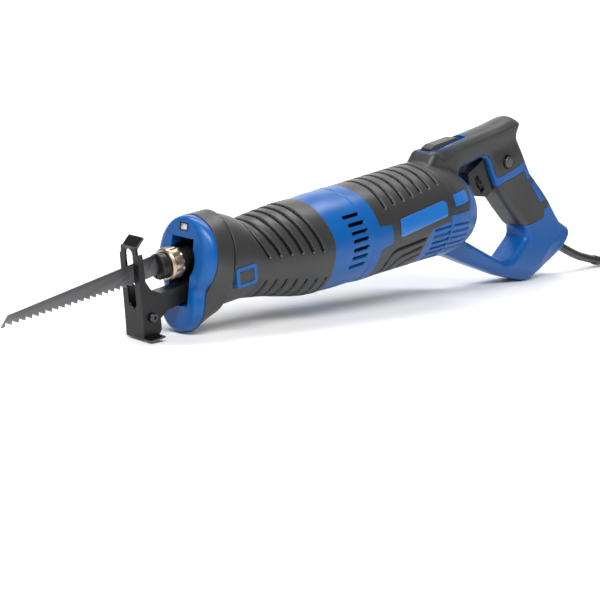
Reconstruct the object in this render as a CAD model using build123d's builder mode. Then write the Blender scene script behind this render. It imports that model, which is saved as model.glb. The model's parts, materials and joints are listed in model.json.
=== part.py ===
from build123d import *
import os
from math import cos, pi, radians, sin, sqrt, tan

# Corded reciprocating saw, millimetres.
# Every piece is modelled in the saw's own axes: X runs from the nose to the handle, Z is up and
# the motor's axis is y = 0, z = 0.  Last of all the whole saw is tipped nose-down by PITCH,
# so that it stands on its chin and on the bottom of its D-shaped loop.

# ---------------------------------------------------------------- driving dimensions
PITCH = 9.46               # how far the saw tips nose-down when it is set down, degrees
GAP = 0.3                  # clearance between pieces that move past each other
SKIN = 2.0                 # rubber overmould on the casings
METAL = 3.0                # cast gear housing

# outer casing: (x, centre height, radius), nose to tail
FRONT = [(58, 9.2, 31.1), (70, 8.4, 32.7), (90, 6.3, 36.0), (112, 4.0, 39.0), (125.3, 3.0, 39.6)]
BAND = [(125.7, 3.0, 39.6), (140, 2.9, 40.6), (168, 2.2, 41.1), (176.4, 1.5, 41.3)]
REAR = [(176.8, 1.5, 41.5), (200, 1.4, 41.8), (235, 0.7, 42.8), (269.7, 0.0, 43.8)]
CAP = [(270.1, 0.0, 43.7), (290, -2.5, 42.8), (308, -5.0, 39.5), (322, -7.5, 33.0), (331, -9.5, 22.5),
       (335, -10.5, 11.0)]

STROKE = 28.0              # travel of the plunger
CRANK = STROKE / 2
PLUNGER_Z = 23.0
PLUNGER_R = 8.0
CRANK_X = 92.0             # crank gear, which turns about Z
GEAR_R = 24.5
GEAR_TEETH = 40
PINION_TEETH = 8
PINION_R = 5.2

NOSE_LEAN = 0.205          # the nose face leans back: x = NOSE_X + NOSE_LEAN * z
NOSE_X = -5.1
BEZEL_DEEP = 8.4
NOSE_MIDDLE = 9.0          # height on the face that its outline is drawn round
NOSE_ROUNDS = [(26.2, 29.7), (-10.7, 19.3)]    # height and radius of the outline's two rounds
WAIST_BLEND = 11.0
SHOE_X = -48.0             # front of the shoe
SHOE_HALF = 9.9
SHOE_SHEET = 1.8
SHOE_PIN = (-39.0, -9.0)   # x and z of the shoe's pivot

BLADE_TIP = -156.7
BLADE_LINE = 15.1          # height of the tooth tips
BLADE_THICK = 1.1
TOOTH_PITCH = 5.3
TOOTH_DEPTH = 2.9
TEETH = 23

HANDLE_HALF = 14.7         # half the width of the handle
TRIGGER_AT = (370.0, 15.0)     # x and z of the middle of the trigger's opening
TRIGGER_PUSH = (0.832, 0.555)  # direction that the trigger travels in
TRIGGER_HALF = 7.5
LOCK_AT = (394.5, 23.0)

CORD_D = 7.5
COIL_R = 42.5              # to the middle of the turns
COIL_HALF = 15.2           # half the width of the winding
COIL_HIGH = 23.0

NOSE_FACE = Plane(origin=(NOSE_X, 0, 0), x_dir=(0, 1, 0), z_dir=(1, 0, -NOSE_LEAN))
CREASE = Plane(origin=(20, 0, 0), x_dir=(0, 1, 0), z_dir=(1, 0, -0.2))
SLEEVE_FACE = Plane(origin=(6, 0, 0), x_dir=(0, 1, 0), z_dir=(1, 0, -0.28))


# ---------------------------------------------------------------- shapes used more than once
def block(x, y, z, mode=Mode.ADD):
    """Add a box from its lowest and highest x, y and z."""
    with Locations(tuple((low + high) / 2 for low, high in (x, y, z))):
        Box(*(high - low for low, high in (x, y, z)), mode=mode)


def rod(x, radius, y=0.0, z=0.0, mode=Mode.ADD):
    """Add a round bar along X, from x[0] to x[1]."""
    with BuildSketch(Plane.YZ.offset(x[0])) as disc:
        with Locations((y, z)):
            Circle(radius)
    extrude(disc.sketch, amount=x[1] - x[0], mode=mode)


def tube(x, outer, inner, y=0.0, z=0.0):
    """Add a round sleeve along X."""
    with BuildSketch(Plane.YZ.offset(x[0])) as ring:
        with Locations((y, z)):
            Circle(outer)
            Circle(inner, mode=Mode.SUBTRACT)
    extrude(ring.sketch, amount=x[1] - x[0])


def pin(y, radius, x, z, mode=Mode.ADD):
    """Add a round bar along Y, from y[0] to y[1]."""
    with BuildSketch(Plane.XZ.offset(-y[1])) as disc:
        with Locations((x, z)):
            Circle(radius)
    extrude(disc.sketch, amount=y[1] - y[0], mode=mode)


def post(z, radius, x, y=0.0, mode=Mode.ADD):
    """Add a round bar along Z, from z[0] to z[1]."""
    with BuildSketch(Plane.XY.offset(z[0])) as disc:
        with Locations((x, y)):
            Circle(radius)
    extrude(disc.sketch, amount=z[1] - z[0], mode=mode)


def plate(points, y, corner=0.0, mode=Mode.ADD):
    """Extrude a closed side-view outline of (x, z) points across y."""
    with BuildSketch(Plane.XZ.offset(-y[1])) as outline:
        with BuildLine():
            if corner:
                FilletPolyline(*points, radius=corner, close=True)
            else:
                Polyline(*points, close=True)
        make_face()
    extrude(outline.sketch, amount=y[1] - y[0], mode=mode)


def skin(stations, inset=0.0, mode=Mode.ADD):
    """Loft a round casing through its stations, all made smaller by inset."""
    rings = []
    for x, height, radius in stations:
        with BuildSketch(Plane.YZ.offset(x)) as ring:
            with Locations((0, height)):
                Circle(radius - inset)
        rings.append(ring.sketch.faces()[0])
    loft(sections=rings, ruled=True, mode=mode)


def pear_point(angle, grow, taper):
    """A point on the nose's outline: a big round over a smaller one, blended at the waist.

    taper draws the sides of the big round in, and leaves the small one as wide as it is.
    """
    reaches = []
    for height, radius in NOSE_ROUNDS:
        up, size = height - NOSE_MIDDLE, radius + grow
        span = max(0.0, size * size - (up * cos(angle)) ** 2)
        reaches.append(up * sin(angle) + sqrt(span) if span else 0.0)
    high, low = reaches
    reach = (high + low + sqrt((high - low) ** 2 + WAIST_BLEND ** 2)) / 2
    drawn_in = taper * min(1.0, max(0.0, 0.55 + 0.75 * sin(angle)))
    return (reach * cos(angle) * (1 - drawn_in), NOSE_MIDDLE + reach * sin(angle))


def nose_outline(plane, grow=0.0, taper=0.0):
    """The pear-shaped outline of the nose on a plane."""
    turns = [2 * pi * step / 32 for step in range(32)]
    with BuildSketch(plane) as pear:
        with BuildLine():
            Spline(*[pear_point(turn, grow, taper) for turn in turns], periodic=True)
        make_face()
    return pear.sketch


def boot_end(plane):
    """The oval outline that the nose boot ends in, on a plane."""
    turns = [2 * pi * step / 32 for step in range(32)]
    with BuildSketch(plane) as oval:
        with BuildLine():
            Spline(*[(31.6 * cos(turn), 15.0 + 40.5 * sin(turn)) for turn in turns], periodic=True)
        make_face()
    return oval.sketch


def trigger_point(push, up):
    """A side-view point from its place along the trigger's travel and across it."""
    x = TRIGGER_AT[0] + push * TRIGGER_PUSH[0] - up * TRIGGER_PUSH[1]
    z = TRIGGER_AT[1] + push * TRIGGER_PUSH[1] + up * TRIGGER_PUSH[0]
    return (x, z)


def trigger_box(push, up):
    """A rectangle in the side view that is square to the trigger's travel."""
    corners = ((push[0], up[0]), (push[1], up[0]), (push[1], up[1]), (push[0], up[1]))
    return [trigger_point(*corner) for corner in corners]


def nose_form(inset=0.0, reach=0.0, mode=Mode.ADD):
    """Nose and front grip as one body, before it is cut into boot, sleeve and housing.

    reach makes both ends longer, for an inner form that has to pass through the outer one's ends.
    """
    with BuildSketch(SLEEVE_FACE.offset(5.5 - reach)) as face:
        with Locations((0, 17.4)):
            Ellipse(30.4 - inset, 36.8 - inset)
    with BuildSketch(Plane.YZ.offset(36)) as hump:
        with Locations((0, 15.5)):
            Ellipse(30.6 - inset, 35.3 - inset)
    with BuildSketch(Plane.YZ.offset(47)) as slope:
        with Locations((0, 13.2)):
            Ellipse(30.2 - inset, 33.2 - inset)
    rings = [face.sketch.faces()[0], hump.sketch.faces()[0], slope.sketch.faces()[0]]
    last = FRONT[-1]
    for x, height, radius in FRONT[:-1] + [(last[0] + reach, last[1], last[2])]:
        with BuildSketch(Plane.YZ.offset(x)) as ring:
            with Locations((0, height)):
                Circle(radius - inset)
        rings.append(ring.sketch.faces()[0])
    loft(sections=rings, ruled=True, mode=mode)


def nose_hollow():
    """Cut the room in the nose that the chuck and the shoe arm run in."""
    rod((-30, 31), 15.0, z=PLUNGER_Z, mode=Mode.SUBTRACT)
    block((-30, 31), (-11, 11), (-10.5, 20), mode=Mode.SUBTRACT)


def arm_channel():
    """Cut the guide that the shoe arm slides in."""
    block((20, 52), (-6.2, 6.2), (-8.3, 5.3), mode=Mode.SUBTRACT)


# ---------------------------------------------------------------- blade and its clamp
with BuildPart() as saw_blade:
    teeth = []
    for tooth in range(TEETH):
        start = BLADE_TIP + tooth * TOOTH_PITCH
        teeth.append((start + 0.55 * TOOTH_PITCH, BLADE_LINE))
        teeth.append((start + 0.70 * TOOTH_PITCH, BLADE_LINE + TOOTH_DEPTH))
        teeth.append((start + TOOTH_PITCH, BLADE_LINE + 0.55 * TOOTH_DEPTH))
    tang = [(-27, 17.4), (-4.5, 17.4), (-4.5, 28.6), (-24.6, 28.6), (-24.6, 32.6)]
    plate([(BLADE_TIP, BLADE_LINE)] + teeth + tang + [(-150.3, 22.2)],
          (-BLADE_THICK / 2, BLADE_THICK / 2))
    pin((-2, 2), 2.1, -12, PLUNGER_Z, mode=Mode.SUBTRACT)
saw_blade.part.label = "saw_blade"

with BuildPart() as blade_chuck:
    rod((-24.3, -1), 9.7, z=PLUNGER_Z)
    chamfer(blade_chuck.edges().group_by(Axis.X)[0], 1.2)
    block((-30, -4), (-0.7, 0.7), (17.2, 28.8), mode=Mode.SUBTRACT)
    block((-30, -22.5), (-0.7, 0.7), (12, 34), mode=Mode.SUBTRACT)
    rod((-30, -21), 4.2, z=PLUNGER_Z, mode=Mode.SUBTRACT)
    pin((-12, 12), 2.0, -12, PLUNGER_Z, mode=Mode.SUBTRACT)
blade_chuck.part.label = "blade_chuck"

with BuildPart() as clamp_pin:
    pin((-8.5, 8.5), 1.95, -12, PLUNGER_Z)
clamp_pin.part.label = "clamp_pin"

with BuildPart() as clamp_collar:
    with BuildSketch(Plane.XY.offset(PLUNGER_Z)):
        with BuildLine():
            Polyline((-17, 10), (-17, 11.3), (-15.7, 12.4), (-14.4, 12.4), (-13.9, 11.7),
                     (-4.6, 12.1), (-2.2, 12.1), (-1.2, 11.2), (-1.2, 10), close=True)
        make_face()
    revolve(axis=Axis((0, 0, PLUNGER_Z), (1, 0, 0)))
    with BuildSketch(Plane.YZ.offset(-15)):
        with Locations((0, PLUNGER_Z)):
            with PolarLocations(12.9, 13):
                Circle(1.75)
    extrude(amount=11.6, mode=Mode.SUBTRACT)
clamp_collar.part.label = "clamp_collar"

# ---------------------------------------------------------------- plunger, yoke and crank
with BuildPart() as plunger:
    rod((-1, 86), PLUNGER_R, z=PLUNGER_Z)
    block((66, 90), (-10, 10), (10, 22), mode=Mode.SUBTRACT)
plunger.part.label = "plunger"

YOKE_X = CRANK_X - CRANK
with BuildPart() as yoke:
    block((YOKE_X - 9, YOKE_X + 9), (-21.5, 21.5), (14.6, 22))
    fillet(yoke.edges().filter_by(Axis.Z), 4)
    with BuildSketch(Plane.XY.offset(14)):
        with Locations((YOKE_X, 0)):
            SlotOverall(37, 12.1, rotation=90)
    extrude(amount=7, mode=Mode.SUBTRACT)
yoke.part.label = "yoke"

with BuildPart() as crank_bearing:
    post((14.8, 20.8), 6.0, YOKE_X)
    post((14.8, 20.8), 3.4, YOKE_X, mode=Mode.SUBTRACT)
    post((14.8, 20.8), 3.35, YOKE_X)
crank_bearing.part.label = "crank_bearing"

with BuildPart() as crank_gear:
    with BuildSketch(Plane.XZ):
        with BuildLine():
            Polyline((CRANK_X + 5.05, -7), (CRANK_X + 9, -7), (CRANK_X + 9, 7.6),
                     (CRANK_X + 19, 7.6), (CRANK_X + 19, 5.7), (CRANK_X + GEAR_R - 0.5, 5.7),
                     (CRANK_X + GEAR_R, 6.4), (CRANK_X + GEAR_R, 13.2), (CRANK_X + 5.05, 13.2),
                     close=True)
        make_face()
    revolve(axis=Axis((CRANK_X, 0, 0), (0, 0, 1)))
    with BuildSketch(Plane.XY.offset(5)):
        with Locations((CRANK_X, 0)):
            with PolarLocations(GEAR_R, GEAR_TEETH):
                Rectangle(12, 1.9)
    extrude(amount=2.4, mode=Mode.SUBTRACT)
    with BuildSketch(Plane.XY.offset(5)):
        with Locations((CRANK_X, 0)):
            with PolarLocations(14, 4, start_angle=45):
                Circle(3.2)
    extrude(amount=10, mode=Mode.SUBTRACT)
crank_gear.part.label = "crank_gear"

with BuildPart() as gear_shaft:
    post((-25, 13.0), 5.0, CRANK_X)
gear_shaft.part.label = "gear_shaft"

with BuildPart() as plunger_bushes:
    for start in (31.0, 52.0):
        tube((start, start + 8), 11.0, PLUNGER_R + 0.04, z=PLUNGER_Z)
plunger_bushes.part.label = "plunger_bushes"

with BuildPart() as plunger_seal:
    tube((39.2, 42.2), 11.0, PLUNGER_R + 0.05, z=PLUNGER_Z)
plunger_seal.part.label = "plunger_seal"

# ---------------------------------------------------------------- shoe and its arm
SHOE_BACK = [(-48, -24), (-34, -24), (-31.2, -20), (-31.2, -13), (-33.6, 4), (-41, 16),
             (-42.6, 19), (-43.5, 39), (-48, 39)]
with BuildPart() as shoe_foot:
    for side in (-SHOE_HALF, SHOE_HALF - SHOE_SHEET):
        plate(SHOE_BACK, (side, side + SHOE_SHEET))
    with BuildSketch(Plane.YZ.offset(SHOE_X)):
        with BuildLine():
            FilletPolyline((-SHOE_HALF, -24), (SHOE_HALF, -24), (SHOE_HALF, 30), (8.0, 45),
                           (-8.0, 45), (-SHOE_HALF, 30), radius=1.0, close=True)
        make_face()
        with Locations((0, 20.5)):
            SlotOverall(45, 8.6, rotation=90, mode=Mode.SUBTRACT)
    extrude(amount=SHOE_SHEET)
    plate([(-48, 43.2), (-46.8, 44.8), (-40.2, 50.6), (-39.0, 49.2), (-46.2, 42.2)], (-7.6, 7.6))
    block((-47.9, -34.5), (-17.5, -SHOE_HALF + 1), (-24.0, -22.8))
    pin((-12, 12), 2.6, *SHOE_PIN, mode=Mode.SUBTRACT)
shoe_foot.part.label = "shoe_foot"

with BuildPart() as shoe_arm:
    plate([(-38, -15.4), (-30, -14.6), (-20, -9.2), (-8, -8), (46, -8), (46, 5), (-26, 5),
           (-38, -2.6)], (-5.9, 5.9))
    pin((-5.9, 5.9), 6.4, *SHOE_PIN)
    pin((-12, 12), 2.6, *SHOE_PIN, mode=Mode.SUBTRACT)
    for notch in (14.0, 26.0, 38.0):
        block((notch - 2.6, notch + 2.6), (-7, -4.4), (1.0, 6), mode=Mode.SUBTRACT)
shoe_arm.part.label = "shoe_arm"

with BuildPart() as shoe_pivot_bolt:
    pin((-10.2, 11.5), 2.5, *SHOE_PIN)
    pin((-12.6, -10.2), 3.6, *SHOE_PIN)
    fillet(shoe_pivot_bolt.edges().group_by(Axis.Y)[0], 0.9)
    pin((-13, -11.6), 1.6, *SHOE_PIN, mode=Mode.SUBTRACT)
    pin((10.2, 13.2), 4.2, *SHOE_PIN)
shoe_pivot_bolt.part.label = "shoe_pivot_bolt"

# ---------------------------------------------------------------- nose and gear housing
with BuildPart() as nose_bezel:
    crown = [(0, -3.6, 0.20), (0.8, -2.0, 0.145), (2.2, -0.9, 0.09), (4.6, -0.2, 0.03),
             (BEZEL_DEEP, 0, 0)]
    loft(sections=[nose_outline(NOSE_FACE.offset(deep), grow, taper).faces()[0]
                   for deep, grow, taper in crown])
    nose_hollow()
    block((-30, 16), (-12, 12), (20, 39.5), mode=Mode.SUBTRACT)
    with BuildSketch(NOSE_FACE.offset(-1)):
        with Locations((0, 48.2)):
            Rectangle(9.0, 5.4)
    extrude(amount=12, mode=Mode.SUBTRACT)
nose_bezel.part.label = "nose_bezel"

with BuildPart() as led_lens:
    with BuildSketch(NOSE_FACE.offset(1.2)):
        with Locations((0, 48.2)):
            Rectangle(8.8, 5.2)
    extrude(amount=3)
led_lens.part.label = "led_lens"

with BuildPart() as nose_boot:
    loft(sections=[nose_outline(NOSE_FACE.offset(BEZEL_DEEP + 0.1), grow=0.55).faces()[0],
                   boot_end(CREASE).faces()[0]])
    nose_hollow()
    block((-30, 16), (-12, 12), (20, 39.5), mode=Mode.SUBTRACT)
    arm_channel()
nose_boot.part.label = "nose_boot"

BUTTON = (36.0, 6.5)       # x and z of the shoe release button, on the left side
with BuildPart() as front_grip_sleeve:
    nose_form()
    nose_form(inset=SKIN, reach=1.5, mode=Mode.SUBTRACT)
    split(bisect_by=CREASE.offset(0.1), keep=Keep.TOP)
    nose_hollow()
    block((BUTTON[0] - 11, BUTTON[0] + 11), (-40, -15), (BUTTON[1] - 8, BUTTON[1] + 8),
          mode=Mode.SUBTRACT)
front_grip_sleeve.part.label = "front_grip_sleeve"


def gear_case():
    """The cast housing in one piece: walls, two plunger bulkheads, the bearing wall, the boss."""
    nose_form(inset=SKIN + 0.05, reach=1.5)
    split(bisect_by=CREASE.offset(0.1), keep=Keep.TOP)
    rod((FRONT[-1][0], 130), 50, mode=Mode.SUBTRACT)
    rod((42.3, 52), 21, z=14, mode=Mode.SUBTRACT)
    inner = [(60, 9.0, 31.4), (70, 8.4, 32.7), (90, 6.3, 36.0), (112, 4.0, 39.0), (118, 3.6, 39.2)]
    skin(inner, inset=SKIN + METAL + 0.05, mode=Mode.SUBTRACT)
    post((-23.3, -8), 12, CRANK_X)
    post((-40, 20), 5.0, CRANK_X, mode=Mode.SUBTRACT)
    rod((117, 128), 13.0, mode=Mode.SUBTRACT)
    rod((20, 61), 11.0, z=PLUNGER_Z, mode=Mode.SUBTRACT)
    nose_hollow()
    arm_channel()
    pin((-40, -5), 4.6, *BUTTON, mode=Mode.SUBTRACT)
    block((BUTTON[0] - 7.4, BUTTON[0] + 7.4), (-30, -23.3), (BUTTON[1] - 4.9, BUTTON[1] + 4.9),
          mode=Mode.SUBTRACT)
    block((BUTTON[0] - 10.7, BUTTON[0] + 10.7), (-40, -26.3), (BUTTON[1] - 7.7, BUTTON[1] + 7.7),
          mode=Mode.SUBTRACT)


SPLIT_LINE = Plane.XY.offset(PLUNGER_Z)
with BuildPart() as gear_housing:
    gear_case()
    split(bisect_by=SPLIT_LINE, keep=Keep.BOTTOM)
gear_housing.part.label = "gear_housing"

with BuildPart() as gear_cover:
    gear_case()
    split(bisect_by=SPLIT_LINE, keep=Keep.TOP)
gear_cover.part.label = "gear_cover"

with BuildPart() as release_button_frame:
    block((BUTTON[0] - 10.6, BUTTON[0] + 10.6), (-31.6, -26.4), (BUTTON[1] - 7.6, BUTTON[1] + 7.6))
    fillet(release_button_frame.edges().filter_by(Axis.Y), 2.5)
    block((BUTTON[0] - 7.3, BUTTON[0] + 7.3), (-40, -20), (BUTTON[1] - 4.8, BUTTON[1] + 4.8),
          mode=Mode.SUBTRACT)
release_button_frame.part.label = "release_button_frame"

with BuildPart() as release_button:
    block((BUTTON[0] - 7, BUTTON[0] + 7), (-31.2, -27), (BUTTON[1] - 4.5, BUTTON[1] + 4.5))
    fillet(release_button.edges().filter_by(Axis.Y), 1.2)
    pin((-27.2, -9.4), 4.2, *BUTTON)
release_button.part.label = "release_button"

# ---------------------------------------------------------------- motor
with BuildPart() as armature_shaft:
    rod((118, 257), 4.0)
    rod((106.5, 118), PINION_R - 1.2)
    with BuildSketch(Plane.YZ.offset(106.5)):
        with PolarLocations(PINION_R - 1.0, PINION_TEETH):
            Rectangle(2.0, 1.7)
    extrude(amount=11)
armature_shaft.part.label = "armature_shaft"

with BuildPart() as armature_core:
    tube((160, 215), 20.0, 4.0)
    with BuildSketch(Plane.YZ.offset(159)):
        with PolarLocations(18.5, 12):
            Rectangle(6, 2.4)
    extrude(amount=57, mode=Mode.SUBTRACT)
    tube((153, 160), 15.0, 4.0)
    tube((215, 223), 15.0, 4.0)
armature_core.part.label = "armature_core"

with BuildPart() as commutator:
    tube((226, 242), 11.0, 4.0)
    with BuildSketch(Plane.YZ.offset(225)):
        with PolarLocations(11.0, 24):
            Rectangle(1.6, 0.6)
    extrude(amount=15, mode=Mode.SUBTRACT)
commutator.part.label = "commutator"

with BuildPart() as cooling_fan:
    tube((133, 150), 8.0, 4.0)
    tube((146.5, 149), 33.0, 4.0)
    with BuildSketch(Plane.YZ.offset(134)):
        with PolarLocations(22.5, 14, start_angle=4):
            Rectangle(20, 1.5, rotation=18)
    extrude(amount=12.6)
cooling_fan.part.label = "cooling_fan"

with BuildPart() as front_motor_bearing:
    tube((118.2, 125.2), 13.0, 4.05)
front_motor_bearing.part.label = "front_motor_bearing"

with BuildPart() as rear_motor_bearing:
    tube((249, 256), 11.0, 4.05)
rear_motor_bearing.part.label = "rear_motor_bearing"

with BuildPart() as stator_core:
    tube((160, 216), 34.2, 29.0)
    for side in (-1, 1):
        low, high = sorted((side * 20, side * 31))
        block((160, 216), (low, high), (-13, 13))
    rod((159, 217), 21.0, mode=Mode.SUBTRACT)
stator_core.part.label = "stator_core"

with BuildPart() as field_coils:
    for side in (-1, 1):
        low, high = sorted((side * 21.5, side * 26.5))
        block((154, 222), (-11, 11), (low, high))
field_coils.part.label = "field_coils"

with BuildPart() as brush_holders:
    for side in (-1, 1):
        block((227, 241), sorted((side * 15, side * 34)), (-6, 6))
        block((229.9, 238.1), sorted((side * 14, side * 35)), (-3.6, 3.6),
              mode=Mode.SUBTRACT)
brush_holders.part.label = "brush_holders"

with BuildPart() as carbon_brushes:
    for side in (-1, 1):
        block((230, 238), sorted((side * 11.2, side * 24)), (-3.5, 3.5))
carbon_brushes.part.label = "carbon_brushes"

with BuildPart() as brush_springs:
    for side in (-1, 1):
        pin(sorted((side * 24.2, side * 33)), 3.0, 234, 0)
        pin(sorted((side * 24, side * 34)), 2.0, 234, 0, mode=Mode.SUBTRACT)
brush_springs.part.label = "brush_springs"

VENTS = [180 - 37.3 + 10.15 * step for step in range(7)]   # around the left side, from the top
HOUSING_SCREWS = [(182, -31), (258, -31), (182, 32), (258, 31)]
HANDLE_SCREWS = [(402, 50), (428, -70), (468, -70), (312, -38), (315, 42)]


def screw_holes(places, y, radius):
    """Cut clearance for a row of screws that are driven in from the right side."""
    for x, z in places:
        pin(y, radius, x, z, mode=Mode.SUBTRACT)


with BuildPart() as motor_housing_left:
    skin(BAND)
    skin(REAR, inset=SKIN)
    rod((170, 183), 39.0, z=1.5)
    rod((125, 262), 36.2, z=1.8, mode=Mode.SUBTRACT)
    rod((260, 270), 20.3, mode=Mode.SUBTRACT)
    tube((247, 257), 14.0, 11.0)
    for low, high in ((-38, -12.5), (12.5, 38)):
        block((249, 255), (low, high), (-1.5, 1.5))
    block((249, 255), (-1.5, 1.5), (12.5, 38))
    with BuildSketch(Plane.YZ.offset(144)):
        with Locations((0, 2.2)):
            with PolarLocations(39, len(VENTS), start_angle=VENTS[0],
                                angular_range=VENTS[-1] - VENTS[0], endpoint=True):
                Rectangle(14, 3.2)
    extrude(amount=20, mode=Mode.SUBTRACT)
    split(bisect_by=Plane.XZ, keep=Keep.TOP)
motor_housing_left.part.label = "motor_housing_left"

with BuildPart() as motor_housing_right:
    add(motor_housing_left.part)
    mirror(about=Plane.XZ, mode=Mode.REPLACE)
    screw_holes(HOUSING_SCREWS, (19.5, 45), 2.05)
motor_housing_right.part.label = "motor_housing_right"

with BuildPart() as motor_grip_left:
    skin(REAR)
    skin(REAR, inset=SKIN, mode=Mode.SUBTRACT)
    split(bisect_by=Plane.XZ, keep=Keep.TOP)
motor_grip_left.part.label = "motor_grip_left"

with BuildPart() as motor_grip_right:
    add(motor_grip_left.part)
    mirror(about=Plane.XZ, mode=Mode.REPLACE)
    screw_holes(HOUSING_SCREWS, (19.5, 45), 2.05)
motor_grip_right.part.label = "motor_grip_right"

PLATE = [(204, 13.7), (262, 17.4), (265.5, 15), (264.5, 3.8), (202.5, -1.7)]
with BuildPart() as name_plates:
    skin([(x, height, radius + 0.5) for x, height, radius in REAR])
    skin([(x, height, radius + 0.02) for x, height, radius in REAR], mode=Mode.SUBTRACT)
    with BuildSketch(Plane.XZ.offset(-60), mode=Mode.PRIVATE) as plate_outline:
        with BuildLine():
            FilletPolyline(*PLATE, radius=2, close=True)
        make_face()
    extrude(plate_outline.sketch, amount=120, mode=Mode.INTERSECT)
name_plates.part.label = "name_plates"

# ---------------------------------------------------------------- handle
HANDLE = [(276, 26), (276, 42), (285, 51.5), (304, 54), (382, 60), (411, 63.5), (419, 55),
          (413, 43.5), (424, 24), (436, 4.4), (469, -31), (488, -56), (507, -71), (497, -87),
          (452, -101), (430, -105), (394, -92), (293, -42.5), (285, -25), (300, 0)]
HAND_GAP = [(322, 29.5), (345, 31.5), (358, 33.5), (367, 30.5), (374, 14.2), (384, -6), (421, -46),
            (428, -51), (428.5, -59.5), (402, -76.5), (391, -75.5), (331, -39.5), (322, -10)]


def handle_form(inset=0.0):
    """Rear cap, neck, grip and loop as one body."""
    skin(CAP, inset=inset)
    with BuildSketch(Plane.XZ.offset(-HANDLE_HALF)) as side:
        with BuildLine():
            FilletPolyline(*HANDLE, radius=4.5, close=True)
        make_face()
        with BuildLine():
            FilletPolyline(*HAND_GAP, radius=2.4, close=True)
        make_face(mode=Mode.SUBTRACT)
    extrude(side.sketch, amount=2 * HANDLE_HALF)


RUBBER_TOP = [(270, 30), (270, 70), (425, 70), (430, 25), (415, 16), (378, 10.5), (366, 38),
              (345, 36), (322, 33), (300, 20)]
RUBBER_PAD = [(377, -1), (376.5, 3), (424, 5), (427, -5), (436, 8), (474, -31), (455, -36),
              (457, -44), (424, -46), (415, -52)]
GRIP_CAVITY = [(372, 28), (386, 34), (404, 28), (414, 16), (452, -27), (462, -58), (446, -62),
               (438, -42), (426, -34), (400, -12), (392, -2)]


SLEEVE_START = (497, 0, -83)
SLEEVE_WAY = (16, 0, -10.5)


def handle_cavities():
    """Cut the room for the switch, the electronics, the swivel, the lock and the catch."""
    plate(GRIP_CAVITY, (-9.4, 9.4), mode=Mode.SUBTRACT)
    plate(trigger_box((-3, 22), (-20.5, 18)), (-TRIGGER_HALF - GAP, TRIGGER_HALF + GAP),
          mode=Mode.SUBTRACT)
    rod((268, 318), 17.0, mode=Mode.SUBTRACT)
    plate(trigger_box((18, 41.5), (-16, 15)), (-9, 9), mode=Mode.SUBTRACT)
    pin((-20, -5), 5.6, *LOCK_AT, mode=Mode.SUBTRACT)
    with BuildSketch(Plane(origin=SLEEVE_START, z_dir=SLEEVE_WAY)) as socket:
        Circle(4.75)
    extrude(socket.sketch, amount=17, mode=Mode.SUBTRACT)
    plate([(287, 46.5), (340, 51.2), (340, 62), (287, 58)], (-6.4, 6.4), mode=Mode.SUBTRACT)


def rubber_region(keep):
    """Keep or cut the part of the handle that the soft overmould takes up."""
    for low, high in ((-HANDLE_HALF - 1, -HANDLE_HALF + SKIN), (HANDLE_HALF - SKIN, HANDLE_HALF + 1)):
        plate(RUBBER_TOP, (low, high), mode=keep)
        plate(RUBBER_PAD, (low, high), mode=keep)



with BuildPart() as handle_shell_left:
    handle_form()
    tube((257.5, 271), 20.0, 17.0)
    tube((257.5, 260.5), 22.5, 17.0)
    handle_cavities()
    rubber_region(Mode.SUBTRACT)
    split(bisect_by=Plane.XZ, keep=Keep.TOP)
handle_shell_left.part.label = "handle_shell_left"

with BuildPart() as handle_shell_right:
    handle_form()
    tube((257.5, 271), 20.0, 17.0)
    tube((257.5, 260.5), 22.5, 17.0)
    handle_cavities()
    rubber_region(Mode.SUBTRACT)
    split(bisect_by=Plane.XZ, keep=Keep.BOTTOM)
    screw_holes(HANDLE_SCREWS, (5.5, 20), 2.65)
handle_shell_right.part.label = "handle_shell_right"

with BuildPart() as rubber_skin:
    rubber_region(Mode.ADD)

with BuildPart() as handle_grip_left:
    handle_form()
    handle_cavities()
    add(rubber_skin.part, mode=Mode.INTERSECT)
    split(bisect_by=Plane.XZ, keep=Keep.TOP)
handle_grip_left.part.label = "handle_grip_left"

with BuildPart() as handle_grip_right:
    handle_form()
    add(rubber_skin.part, mode=Mode.INTERSECT)
    split(bisect_by=Plane.XZ, keep=Keep.BOTTOM)
    screw_holes(HANDLE_SCREWS, (5.5, 20), 2.65)
handle_grip_right.part.label = "handle_grip_right"

with BuildPart() as swivel_catch:
    plate([(290, 47.2), (331, 50.8), (331, 56.2), (326, 57.4), (296, 56.0), (290, 53.6)], (-5.9, 5.9))
swivel_catch.part.label = "swivel_catch"

# ---------------------------------------------------------------- trigger, lock and switch
with BuildPart() as trigger:
    front = [(-20.5, 20.5), (-24.5, 10.2), (-23.0, -6.3), (-11.6, -18.5), (2.5, -20), (12, -18), (12, 16),
             (0, 16)]
    plate([trigger_point(*corner) for corner in front], (-TRIGGER_HALF, TRIGGER_HALF), corner=1.4)
    plate(trigger_box((-16.3, -10.3), (-9.6, 9.6)), (-10, 10), mode=Mode.SUBTRACT)
trigger.part.label = "trigger"

DIAL = Plane(origin=(trigger_point(-16, 0)[0], 0, trigger_point(-16, 0)[1]), x_dir=(0, 1, 0),
             z_dir=(TRIGGER_PUSH[0], 0, TRIGGER_PUSH[1]))
with BuildPart() as speed_dial:
    with BuildSketch(DIAL):
        Circle(9.2)
        with PolarLocations(9.5, 24):
            Circle(0.6, mode=Mode.SUBTRACT)
    extrude(amount=5.4)
speed_dial.part.label = "speed_dial"

with BuildPart() as trigger_switch:
    plate(trigger_box((22.4, 40), (-15, 14)), (-5.2, 8.6))
trigger_switch.part.label = "trigger_switch"

with BuildPart() as speed_module:
    plate(trigger_box((17, 32), (-47, -27)), (-7, 7))
speed_module.part.label = "speed_module"

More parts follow.
